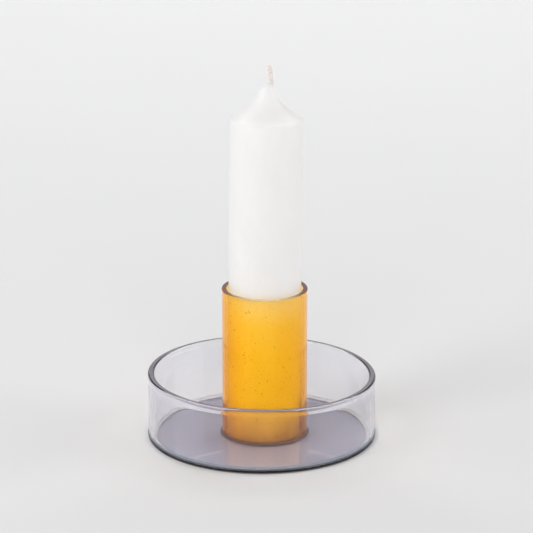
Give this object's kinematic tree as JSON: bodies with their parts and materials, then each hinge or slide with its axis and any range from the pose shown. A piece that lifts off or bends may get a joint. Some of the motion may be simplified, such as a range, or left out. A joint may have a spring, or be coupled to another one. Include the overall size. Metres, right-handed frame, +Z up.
{
  "type": "glass candlestick",
  "caption": "Low round smoke-grey glass dish with an amber glass tube standing on its floor, which holds a straight white dinner candle upright.",
  "frame": {"origin": "centre of the flat underside of the base disc, on the surface that the candlestick stands on", "axes": "+Z up along the dish's axis; +X to the right as seen from the front, towards the side to which the tube stands slightly off centre; +Y towards the back"},
  "size_m": [0.0693, 0.0692, 0.1152],
  "materials": {
    "smoke_glass": "polished",
    "clear_adhesive": "gloss",
    "amber_glass": "polished",
    "amber_adhesive": "gloss",
    "wax": "satin",
    "cotton_wick": "matte"
  },
  "bodies": {
    "holder": {"base_disc": "smoke_glass", "dish_wall": "smoke_glass", "wall_bond": "clear_adhesive", "candle_tube": "amber_glass", "tube_bond": "amber_adhesive"},
    "candle": {"candle": "wax", "wick": "cotton_wick"}
  },
  "joints": [
    {"name": "candle_lift", "type": "slide", "parent": "holder", "child": "candle", "axis": [0, 0, 1], "range_m": [0, 0.06]}
  ]
}
